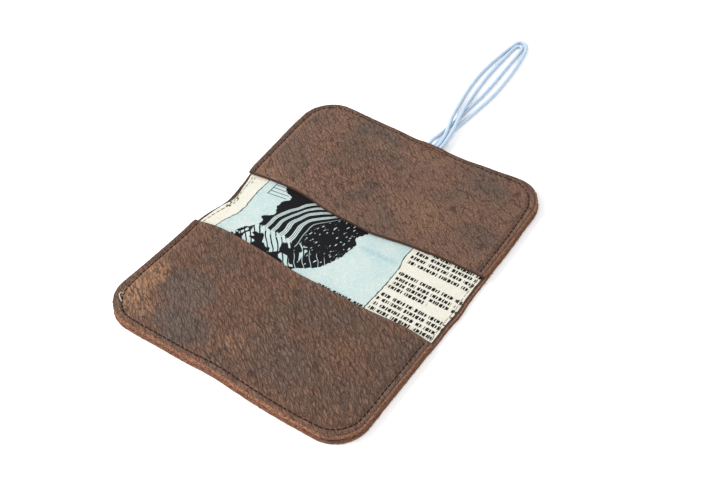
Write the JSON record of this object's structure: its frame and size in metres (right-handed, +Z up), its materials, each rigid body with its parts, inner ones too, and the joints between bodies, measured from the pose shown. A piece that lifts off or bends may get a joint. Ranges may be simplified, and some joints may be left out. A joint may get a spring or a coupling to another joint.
{
  "type": "needle case",
  "caption": "Fold-over leather needle case with rounded corners, stitched leather pockets that face each other over a printed cotton lining, and a looped elastic cord that holds it shut.",
  "frame": {"origin": "middle of the spine, on the resting face under the open case", "axes": "+X along the spine, +Y across the open case towards the leaf that holds the elastic, +Z up out of the lining"},
  "size_m": [0.121, 0.2428, 0.0042],
  "materials": {
    "leather": "oiled, matt to satin, pebbled grain",
    "lining": "printed plain-weave cotton",
    "thread": "waxed polyester thread",
    "elastic": "round braided elastic cord"
  },
  "bodies": {
    "far_leaf": {"far_cover": "leather", "far_lining": "lining", "far_pocket_panel": "leather", "far_seam_stitches": "thread", "far_gutter_stitches": "thread", "elastic_tails": "elastic", "elastic_bar_tacks": "thread", "elastic_outer_loop": "elastic", "elastic_inner_loop": "elastic"},
    "near_leaf": {"near_cover": "leather", "near_lining": "lining", "near_pocket_panel": "leather", "near_seam_stitches": "thread", "near_gutter_stitches": "thread"}
  },
  "joints": [
    {"name": "spine_fold", "type": "hinge", "parent": "far_leaf", "child": "near_leaf", "pos_m": [0, 0, 0.0049], "axis": [-1, 0, 0], "range_deg": [0, 179]}
  ]
}
